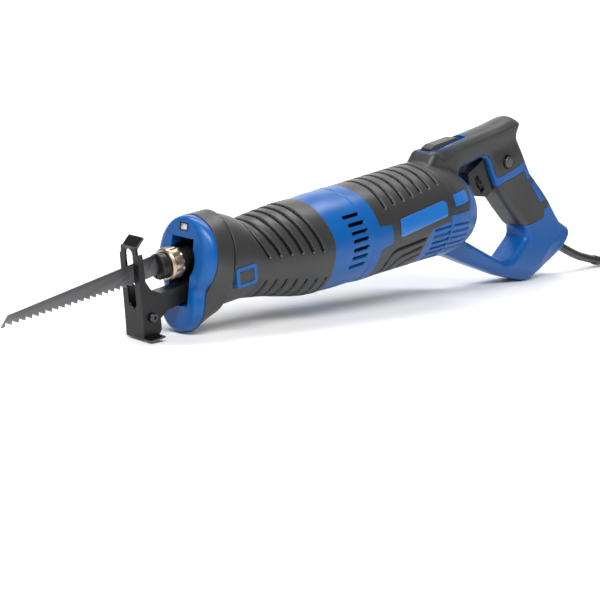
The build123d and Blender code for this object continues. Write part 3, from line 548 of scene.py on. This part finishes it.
def fin_front_edge(up):
    """Where the rubber ends and the blue ribs begin, low on the rear of the casing."""
    low = np.interp(up, [-90, -44, -28, -14, -6], [240, 239, 237.5, 241, 246])
    return low + (MOTOR_END - low) * step_up(up, -6.0, -2.2)


VENT_UP = (37.5, 26.6, 16.6, 7.0, -3.3, -13.0, -23.5)


def vent_ways():
    for up in VENT_UP:
        shift = 4.0 * (1 - ((up - 7) / 31) ** 2)
        yield [(143.5 + shift, up), (159.5 + shift, up)]


def vent_depth(x, up):
    deep = np.zeros(x.shape)
    for way in vent_ways():
        deep = np.maximum(deep, cut_line(x, up, way, 1.7, 3.0))
    return deep


def motor_relief(x, up, angle):
    deep = vent_depth(x, up)
    rim = np.interp(up, [-90, -26, -9, 15, 44, 90], [167, 168, 169.5, 167.5, 162, 160])
    deep = np.maximum(deep, 0.45 * (1 - step_up(x, rim - 0.8, rim + 0.4)))
    shadow = (x > band_rear_edge(up) + 1.4) & ((x < fin_front_edge(up) - 1.4) | (up > -2.2))
    deep = np.where(shadow, 2.3, deep)
    deep = np.where(x < grip_rear_edge(up) - 0.6, 1.2, deep)
    fins = np.zeros(x.shape)
    for low in (-12, -20.5, -29, -38, -48, -60, -74):
        fins = np.maximum(fins, 1 - np.clip(np.abs(up - low) / 2.6, 0, 1) ** 6)
    finned = step_up(x, 246, 250) * (1 - step_up(up, -8.6, -6.5))
    rear = (x > fin_front_edge(up) - 0.4) & (up <= -2.2)
    return np.where(rear, 1.6 - 1.6 * fins * finned - 1.3 * (1 - finned), deep)


def in_vent(x, up, deep):
    return (vent_depth(x, up) > 1.3).astype(int)


def motor_front(up):
    return np.full(np.shape(up), 122.6)


def motor_rear(up):
    return np.full(np.shape(up), MOTOR_END)


casing("motor_shell", motor_surface, motor_front, motor_rear, 330, 480, motor_relief, 4.5,
       [blue, dark], "drive_body", "blue_shell", ["motor_housing_left", "motor_housing_right"],
       mark=in_vent)


# rubber over the motor
def jacket_front(up):
    return band_rear_edge(up) + 0.55


def jacket_rear(up):
    return fin_front_edge(up) - 0.45 + 0.4 * step_up(up, -3, -1)


def jacket_relief(x, up, angle):
    deep = np.zeros(x.shape)
    for i, end in enumerate((33.7, 35.7, 36.5, 38, 40, 41.4, 43.4)):
        middle = 192 + 12.1 * i
        deep = np.maximum(deep, cut_line(x, up, [(middle, 90), (middle, end + 2)], 2.1, 1.45, 42))
    low = ([(236, -15.5), (201, -19), (195.5, -22), (191.5, -34), (193, -56), (194, -90)],
           [(233, -26), (211, -31.5), (205.5, -36), (203, -48), (204, -90)],
           [(233, -38), (221, -42), (216.5, -47), (215, -58), (215, -90)])
    for way in low:
        deep = np.maximum(deep, cut_line(x, up, way, 2.0, 1.4, 42))
    return deep


# the jacket's grooves are painted with shade through the second material
casing("motor_jacket", motor_surface, jacket_front, jacket_rear, 240, 520, jacket_relief, 2.15,
       [rubber, groove], "drive_body", "soft_grip", ["motor_grip_left", "motor_grip_right"],
       mark=groove_shade_mask)


# ---------------------------------------------------------------- blade clamp collar and lamp
def turned_ring(name, profile, centre_z, material, body, slot, replaced, shape, around=182):
    """A ring turned about the plunger's axis from a closed (x, radius) profile."""
    points, faces = [], []
    count = len(profile)
    for k in range(around):
        a = 2 * math.pi * k / around
        for x, radius in profile:
            r = radius - shape(x, radius, a)
            points.append((x, r * math.cos(a), centre_z + r * math.sin(a)))
    for k in range(around):
        n = (k + 1) % around
        for j in range(count):
            m = (j + 1) % count
            faces.append((k * count + j, k * count + m, n * count + m, n * count + j))
    return piece(name, points, faces, [material], body, slot, replaced, smooth=32)


PLUNGER_Z = 23.0
COLLAR = [(-17, 10), (-17, 11.0), (-16.6, 11.5), (-15.8, 12.1), (-15.2, 12.35), (-14.6, 12.35),
          (-14.2, 12.1), (-13.9, 11.8), (-13.5, 11.9), (-12.8, 12.1), (-11, 12.15), (-9, 12.15),
          (-7.4, 12.1), (-6.9, 11.9), (-6.3, 11.5), (-5.85, 11.0), (-5.8, 10)]


def ribs(x, radius, a):
    """Thirteen flutes between rounded ribs, fading out at the collar's two ends."""
    if radius < 11.4 or x < -13.7:
        return 0.0
    wave = abs(((a * 13 / (2 * math.pi)) % 1) - 0.5) * 2
    cut = min(1.0, max(0.0, (wave - 0.52) / 0.22))
    return 1.25 * cut * cut * (3 - 2 * cut) * min(1.0, (x + 13.7) / 1.0, (-6.2 - x) / 1.0)


turned_ring("collar_ribbed", COLLAR, PLUNGER_Z, bronze, "clamp_collar", "collar_alloy",
            ["clamp_collar"], ribs)


FACE_X, FACE_LEAN = -5.1, 0.205       # the nose face's plane: x = FACE_X + FACE_LEAN * z


def face_point(across, up, proud):
    """A point on the nose's face: across it, up it, and proud of it, in mm."""
    size = math.hypot(1, FACE_LEAN)
    return Vector((FACE_X - proud / size + FACE_LEAN * up / size, across,
                   (up + FACE_LEAN * proud) / size))


def frame_ring(name, outer, inner, corner, proud, middle, material, body, slot):
    """A thin rounded rectangular frame on the nose's face."""
    def outline(wide, high, reach):
        return rounded([(-wide, -high), (wide, -high), (wide, high), (-wide, high)], reach, 5)
    layers = [(outline(*outer, corner), -0.6), (outline(*outer, corner), proud - 0.15),
              (grown(outline(*outer, corner), -0.2), proud),
              (grown(outline(*inner, corner * 0.5), 0.15), proud),
              (outline(*inner, corner * 0.5), proud - 0.15), (outline(*inner, corner * 0.5), -0.6)]
    points, faces = [], []
    for line, height in layers:
        points += [face_point(a, middle + b, height) for a, b in line]
    n = len(layers[0][0])
    for j in range(len(layers)):
        m = (j + 1) % len(layers)
        faces += [(j * n + k, j * n + (k + 1) % n, m * n + (k + 1) % n, m * n + k)
                  for k in range(n)]
    return piece(name, points, faces, [material], body, slot)


# ---------------------------------------------------------------- handle, cut from one form
def rounded(points, radius, steps=7):
    """A closed outline with its corners rounded off."""
    out = []
    count = len(points)
    for i in range(count):
        here = Vector(points[i])
        before, after = Vector(points[i - 1]), Vector(points[(i + 1) % count])
        a, b = (before - here), (after - here)
        turn = math.pi - a.angle(b)
        reach = min(radius * math.tan(turn / 2), a.length * 0.45, b.length * 0.45)
        first, last = here + a.normalized() * reach, here + b.normalized() * reach
        for k in range(steps + 1):
            t = k / steps
            out.append(first * (1 - t) ** 2 + here * 2 * t * (1 - t) + last * t * t)
    return [(p.x, p.y) for p in out]


def grown(points, amount):
    """A closed outline moved outwards (or inwards) by a small amount."""
    area = sum(a[0] * b[1] - b[0] * a[1] for a, b in zip(points, points[1:] + points[:1]))
    turn = 1 if area > 0 else -1
    out = []
    for i in range(len(points)):
        here, before = Vector(points[i]), Vector(points[i - 1])
        after = Vector(points[(i + 1) % len(points)])
        a, b = (here - before).normalized(), (after - here).normalized()
        normal = (Vector((a.y, -a.x)) + Vector((b.y, -b.x))).normalized() * turn
        reach = amount / max(0.4, normal.dot(Vector((a.y, -a.x)) * turn))
        out.append((here.x + normal.x * reach, here.y + normal.y * reach))
    return out


frame_ring("lamp_frame", (4.9, 3.1), (3.7, 2.2), 1.0, 0.35, 48.2, black, "drive_body",
           "black_plastic")


def new_object(name, points, faces):
    mesh = bpy.data.meshes.new(name)
    mesh.from_pydata([tuple(p) for p in points], [], [tuple(f) for f in faces])
    made = bpy.data.objects.new(name, mesh)
    bpy.context.scene.collection.objects.link(made)
    tidy = bmesh.new()
    tidy.from_mesh(mesh)
    bmesh.ops.triangulate(tidy, faces=[f for f in tidy.faces if len(f.verts) > 4])
    bmesh.ops.recalc_face_normals(tidy, faces=tidy.faces)
    tidy.to_mesh(mesh)
    tidy.free()
    return made


def prism(outline, y_low, y_high):
    """A side-view outline carried across from y_low to y_high, in the saw's axes in mm."""
    n = len(outline)
    points = [(x, y, z) for y in (y_low, y_high) for x, z in outline]
    faces = [tuple(range(n)), tuple(reversed(range(n, 2 * n)))]
    faces += [(i, i + n, (i + 1) % n + n, (i + 1) % n) for i in range(n)]
    return new_object("cutter", points, faces)


def bar(start, end, radius, around=40):
    """A round bar between two points, in the saw's axes in mm."""
    start, end = Vector(start), Vector(end)
    way = (end - start).normalized()
    side = way.orthogonal().normalized()
    up = way.cross(side)
    rings = [[centre + (side * math.cos(a) + up * math.sin(a)) * radius
              for a in np.linspace(0, 2 * math.pi, around, endpoint=False)]
             for centre in (start, end)]
    return new_object("cutter", *loft(rings))


def settle(made):
    """Bake an object's modifiers into its mesh."""
    graph = bpy.context.evaluated_depsgraph_get()
    graph.update()
    baked = bpy.data.meshes.new_from_object(made.evaluated_get(graph))
    made.modifiers.clear()
    made.data = baked


def combined(made, cutter, operation):
    """made united with, cut by or limited to cutter."""
    change = made.modifiers.new("shape", "BOOLEAN")
    change.operation = operation
    change.object = cutter
    change.solver = "MANIFOLD"
    bpy.context.view_layer.update()
    settle(made)
    bpy.data.objects.remove(cutter)
    return made


def copy_of(made, name):
    other = made.copy()
    other.data = made.data.copy()
    other.name = name
    bpy.context.scene.collection.objects.link(other)
    return other


def points_of(made):
    co = np.zeros(len(made.data.vertices) * 3)
    made.data.vertices.foreach_get("co", co)
    return co.reshape(-1, 3)


def set_points(made, points):
    made.data.vertices.foreach_set("co", np.asarray(points, float).ravel())
    made.data.update()


HANDLE = [(276, 26), (276, 42), (285, 51.5), (304, 54), (345, 57.2), (382, 60.0), (404, 63.2),
          (411.5, 63.4), (417.5, 59.0), (418.4, 54), (414.6, 48), (414.2, 43), (425, 24),
          (436.5, 4.4), (455, -15), (469, -31), (480, -46), (488, -56), (504, -66), (508, -72),
          (504.5, -81), (497, -87), (474, -95), (452, -101), (438, -104.6), (428, -104.6),
          (394, -92), (345, -68.5), (293, -42.5), (285, -25), (300, 0)]
HAND_GAP = [(322, 29.5), (345, 31.5), (358, 33.5), (367, 30.5), (374, 14.2), (384, -6),
            (402, -26.5), (421, -46), (428, -51), (429, -59.5), (402, -76.5), (391, -75.5),
            (331, -39.5), (326, -24), (324, -5)]
CAP = [(270.1, 0.0, 43.7), (274, -0.2, 43.75), (284, -1.3, 43.5), (292, -2.7, 42.6),
       (301, -4.0, 41.0), (309, -5.1, 38.9), (316, -6.3, 36.0), (323, -7.8, 31.6),
       (329, -9.0, 25.5), (333, -9.9, 18.0), (335, -10.5, 10.0)]
HALF, EDGE = 14.7, 6.5                # half the handle's width, and its rounded edge

outline_curve = bpy.data.curves.new("handle_outline", "CURVE")
outline_curve.dimensions = "2D"
outline_curve.fill_mode = "BOTH"
outline_curve.extrude = HALF - EDGE
outline_curve.bevel_depth = EDGE
outline_curve.bevel_resolution = 6
outline_curve.offset = -EDGE
for outline in (rounded(HANDLE, 6.0), rounded(HAND_GAP, 6.0)):
    loop = outline_curve.splines.new("POLY")
    loop.points.add(len(outline) - 1)
    for target, (x, z) in zip(loop.points, outline):
        target.co = (x, z, 0, 1)
    loop.use_cyclic_u = True
outline_object = bpy.data.objects.new("handle_outline", outline_curve)
bpy.context.scene.collection.objects.link(outline_object)
bpy.context.view_layer.update()
graph = bpy.context.evaluated_depsgraph_get()
flat = bpy.data.meshes.new_from_object(outline_object.evaluated_get(graph))
bpy.data.objects.remove(outline_object)
form = bpy.data.objects.new("handle_form", flat)
bpy.context.scene.collection.objects.link(form)
set_points(form, points_of(form)[:, [0, 2, 1]])
cap_rings = []
for x, height, radius in CAP:
    cap_rings.append([Vector((x, -radius * math.cos(a), height + radius * math.sin(a)))
                      for a in np.linspace(0, 2 * math.pi, 120, endpoint=False)])
cap_form = new_object("cap_form", *loft(cap_rings))
mix = bmesh.new()
mix.from_mesh(form.data)
mix.from_mesh(cap_form.data)
bmesh.ops.remove_doubles(mix, verts=mix.verts, dist=0.0005)
mix.to_mesh(form.data)
mix.free()
bpy.data.objects.remove(cap_form)
remesh = form.modifiers.new("even", "REMESH")
remesh.mode = "VOXEL"
remesh.voxel_size = 1.0
settle(form)

# soften the form, but hold the front face of the cap flat
p = points_of(form)
relax = form.modifiers.new("relax", "SMOOTH")
relax.factor = 0.5
relax.iterations = 6
settle(form)
q = points_of(form)
hold = step_up(p[:, 0], 270.6, 275.0)[:, None]
q = p * (1 - hold) + q * hold

# the top is a shallow roof between two ridges, and the grip is narrower in its middle
ridge = np.interp(q[:, 0], [276, 293, 317, 367, 405, 419], [28, 36, 46.5, 52.5, 56.2, 56.5])
over = q[:, 2] > ridge
across = np.clip(np.abs(q[:, 1]) / HALF, 0, 1)
start_of_roof = step_up(q[:, 0], 288, 305)
roof = ridge + (q[:, 2] - ridge) * (1 - 0.86 * across ** 2 * start_of_roof)
q[:, 2] = np.where(over, roof, q[:, 2])
grip_down = (q[:, 0] - 382) * 0.64 - (q[:, 2] - 5) * 0.77
in_grip = np.exp(-((grip_down - 33) / 27) ** 2) * (q[:, 0] > 372) * (q[:, 2] > -60)
side = np.clip((np.abs(q[:, 1]) - 6) / 8.7, 0, 1)
q[:, 1] *= 1 - 0.075 * in_grip * side
ridge_dip = np.exp(-((q[:, 2] - (ridge - 17)) / 11) ** 2) * step_up(q[:, 0], 312, 330) * (
    q[:, 0] < 425)
q[:, 1] *= 1 - 0.10 * ridge_dip * side
# the loop's side narrows below a soft ridge that runs along its lower edge
loop_line = np.interp(q[:, 0], [293, 345, 404, 431, 452, 470, 490],
                      [-30, -51, -82, -93.5, -90, -76, -66])
below = np.clip((loop_line - q[:, 2]) / 14, 0, 1)
loop_side = (q[:, 0] > 318) * (np.abs(q[:, 1]) > 4)
q[:, 1] *= 1 - 0.16 * below * loop_side
# the ribs low on the motor casing run on round the cap
cap_middle = np.interp(q[:, 0], [row[0] for row in CAP], [row[1] for row in CAP])
cap_radius = np.interp(q[:, 0], [row[0] for row in CAP], [row[2] for row in CAP])
from_axis = np.hypot(q[:, 1], q[:, 2] - cap_middle)
cap_up = np.degrees(np.arcsin(np.clip((q[:, 2] - cap_middle) / (from_axis + 1e-6), -1, 1)))
rib = np.zeros(len(q))
for low in (-12, -20.5, -29, -38, -48):
    rib = np.maximum(rib, 1 - np.clip(np.abs(cap_up - low) / 2.9, 0, 1) ** 4)
on_cap = (np.abs(from_axis - cap_radius) < 1.6) * (np.abs(q[:, 1]) > 16)
ribbed = on_cap * step_up(q[:, 0], 272.0, 273.5) * (1 - step_up(q[:, 0], 297, 300)) * (
    1 - step_up(cap_up, -8.6, -6.8)) * step_up(cap_up, -53, -51)
sink = 1.5 * ribbed * (1 - rib) / (from_axis + 1e-6)
q[:, 1] *= 1 - sink
q[:, 2] -= (q[:, 2] - cap_middle) * sink
set_points(form, q)

# room for the switch, the electronics, the swivel, the lock, the catch and the cord's sleeve
TRIGGER_AT, PUSH, LOCK_AT = (370.0, 15.0), (0.832, 0.555), (394.5, 23.0)


def trigger_box(push, up):
    """A rectangle in the side view that is square to the trigger's travel."""
    return [(TRIGGER_AT[0] + a * PUSH[0] - b * PUSH[1], TRIGGER_AT[1] + a * PUSH[1] + b * PUSH[0])
            for a, b in ((push[0], up[0]), (push[1], up[0]), (push[1], up[1]), (push[0], up[1]))]


GRIP_ROOM = [(372, 28), (386, 34), (404, 28), (414, 16), (452, -27), (462, -58), (446, -62),
             (438, -42), (426, -34), (400, -12), (392, -2)]
combined(form, prism(GRIP_ROOM, -9.4, 9.4), "DIFFERENCE")
combined(form, prism(trigger_box((-6, 22), (-20.5, 18)), -7.8, 7.8), "DIFFERENCE")
combined(form, prism(trigger_box((18, 41.5), (-16, 15)), -9, 9), "DIFFERENCE")
combined(form, bar((266, 0, 0), (318, 0, 0), 17.0), "DIFFERENCE")
combined(form, bar((LOCK_AT[0], -22, LOCK_AT[1]), (LOCK_AT[0], -5, LOCK_AT[1]), 5.7), "DIFFERENCE")
combined(form, bar((497, 0, -83), (511.2, 0, -92.3), 4.8), "DIFFERENCE")
combined(form, prism([(287, 46.5), (340, 51.2), (340, 66), (287, 62)], -6.4, 6.4), "DIFFERENCE")

TOP = [(266, 3.4), (298, 1.8), (305.5, 12), (312, 25), (321, 32.0), (345, 34.3), (357.5, 36.6),
       (366, 34.2), (370.8, 29.0), (376.6, 15), (379.5, 10.8), (400, 13.2), (414, 16.2),
       (422, 18.4), (425, 23.5), (432, 25.5), (450, 26), (450, 90), (266, 90)]
PAD = [(377.2, -1.5), (386.5, 3.4), (404, 5.6), (424, 8.0), (427.5, -2.6), (435.6, -0.5),
       (438.6, 3.2), (447, 2.6), (480, -29), (470, -33.0), (455, -36), (457, -44), (440, -46.4),
       (424, -46.6), (415, -54)]
TRIM = [(285.6, 47.5), (341.4, 51.8), (341.4, 67), (285.6, 67)]
INSET = [(433.3, -6.2), (441.9, -4.8), (458.4, -27.2), (449.6, -27.8)]
CAP_PATCH = [(277.5, 8.8), (277.0, 19.2), (300.0, 19.0), (301.5, 8.6)]


def part_within(made, outline, name):
    """What of a form lies inside an outline in the side view, as a new object."""
    return combined(copy_of(made, name), prism(outline, -60, 60), "INTERSECT")


def cut_away(made, outline, gap):
    """Take the inside of an outline off a form, with a gap round it."""
    return combined(made, prism(grown(outline, gap), -60, 60), "DIFFERENCE")


top_outline, pad_outline = rounded(TOP, 2.2, 5), rounded(PAD, 2.0, 5)
inset_outline, patch_outline = rounded(INSET, 1.6, 5), rounded(CAP_PATCH, 1.6, 5)
top_rubber = part_within(form, top_outline, "top_rubber")
grip_rubber = part_within(form, pad_outline, "grip_rubber")
catch_trim = combined(copy_of(form, "catch_trim"), prism(TRIM, -7.6, 7.6), "INTERSECT")
combined(top_rubber, prism(grown(TRIM, 0.35), -7.95, 7.95), "DIFFERENCE")
handle_blue = cut_away(cut_away(form, top_outline, 0.45), pad_outline, 0.45)
inset_form = part_within(grip_rubber, inset_outline, "grip_inset")
cut_away(grip_rubber, inset_outline, 0.4)
cap_patch = part_within(top_rubber, patch_outline, "cap_patch")
cut_away(top_rubber, patch_outline, 0.4)


def into_frame(made, name, material, body, replaced=(), angle=35):
    """A shape in the saw's axes, in mm, as a finished piece in the frame."""
    tidy = bmesh.new()
    tidy.from_mesh(made.data)
    bmesh.ops.dissolve_degenerate(tidy, edges=tidy.edges, dist=0.02)
    tidy.to_mesh(made.data)
    tidy.free()
    set_points(made, place(points_of(made)))
    made.name = name
    made.data.name = name
    made.data.materials.clear()
    made.data.materials.append(material)
    made.data.polygons.foreach_set("use_smooth", [True] * len(made.data.polygons))
    made.data.set_sharp_from_angle(angle=math.radians(angle))
    return finish_piece(made, body, replaced)


into_frame(handle_blue, "handle_body", blue, "handle",
           ["handle_shell_left", "handle_shell_right"])
into_frame(top_rubber, "handle_top_rubber", rubber, "handle",
           ["handle_grip_left", "handle_grip_right"])
into_frame(grip_rubber, "handle_grip_rubber", rubber, "handle")
into_frame(inset_form, "handle_grip_inset", blue, "handle")
into_frame(cap_patch, "cap_window", blue_plate, "handle")
into_frame(catch_trim, "catch_trim", blue, "handle")
# the lock button's ring: a trim ring lining the bore with a lip proud of the handle, coloured
# near-black so that it also paints the shade in the recess round the button
RING_STEPS = 48
LOCK_RING = [(-11.6, 5.35), (-14.8, 5.35), (-15.4, 5.6), (-15.5, 6.1), (-15.3, 6.7), (-14.6, 6.9),
             (-11.6, 6.9)]
ring_points = [(LOCK_AT[0] + r * math.cos(a), y, LOCK_AT[1] + r * math.sin(a))
               for a in np.linspace(0, 2 * math.pi, RING_STEPS, endpoint=False)
               for y, r in LOCK_RING]
count = len(LOCK_RING)
ring_faces = [(k * count + j, k * count + (j + 1) % count,
               (k + 1) % RING_STEPS * count + (j + 1) % count, (k + 1) % RING_STEPS * count + j)
              for k in range(RING_STEPS) for j in range(count)]
piece("lock_recess", ring_points, ring_faces, [trim_and_recess_shade], "handle", "black_plastic", smooth=35)


# ---------------------------------------------------------------- floor and light
FAR, TURN = 3.2, 0.9
floor_points, floor_faces = [], []
profile = [(-4.0, 0.0)] + [(FAR - TURN + TURN * math.sin(a), TURN - TURN * math.cos(a))
                           for a in np.linspace(0, math.pi / 2, 14)] + [(FAR, 5.0)]
toward = Vector((-back.x, -back.y, 0)).normalized()
side = Vector((-toward.y, toward.x, 0))
for reach, height in profile:
    for across in (-12.0, 12.0):
        p = toward * reach + side * across
        floor_points.append((p.x, p.y, height))
for j in range(len(profile) - 1):
    floor_faces.append((2 * j, 2 * j + 1, 2 * j + 3, 2 * j + 2))
floor_mesh = bpy.data.meshes.new("studio_floor")
floor_mesh.from_pydata(floor_points, [], floor_faces)
floor_mesh.materials.append(surface("studio_paper", (0.86, 0.86, 0.86), 0.75,
                                    other=(0.88, 0.88, 0.88), patch=2, grain=60, bump=0.02,
                                    rough_range=0.02))
floor_mesh.polygons.foreach_set("use_smooth", [True] * len(floor_mesh.polygons))
floor = bpy.data.objects.new("studio_floor", floor_mesh)
bpy.context.scene.collection.objects.link(floor)
floor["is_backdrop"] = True

world = bpy.data.worlds.new("studio")
bpy.context.scene.world = world
world.use_nodes = True
world.node_tree.nodes["Background"].inputs["Color"].default_value = (0.93, 0.95, 1.0, 1)
world.node_tree.nodes["Background"].inputs["Strength"].default_value = 0.22


def softbox(name, spot, target, size, power):
    light = bpy.data.lights.new(name, "AREA")
    light.shape = "RECTANGLE"
    light.size, light.size_y = size
    light.energy = power
    made = bpy.data.objects.new(name, light)
    bpy.context.scene.collection.objects.link(made)
    made.location = spot
    made.rotation_mode = "QUATERNION"
    made.rotation_quaternion = (Vector(target) - Vector(spot)).to_track_quat("-Z", "Y")


softbox("key_softbox", (-0.75, -0.75, 1.25), (0.05, 0, 0.06), (1.1, 0.4), 24)
softbox("top_softbox", (0.3, 0.4, 1.6), (0.05, 0, 0.05), (1.8, 0.35), 24)
softbox("fill_softbox", (-1.6, -0.4, 0.7), (0, 0, 0.05), (0.8, 0.8), 4)
behind = toward * 1.5
wall = toward * FAR
softbox("backdrop_softbox", (behind.x, behind.y, 1.9), (wall.x, wall.y, 0.7), (4.0, 0.8), 90)
bpy.context.scene.view_settings.view_transform = "Standard"

low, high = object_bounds()
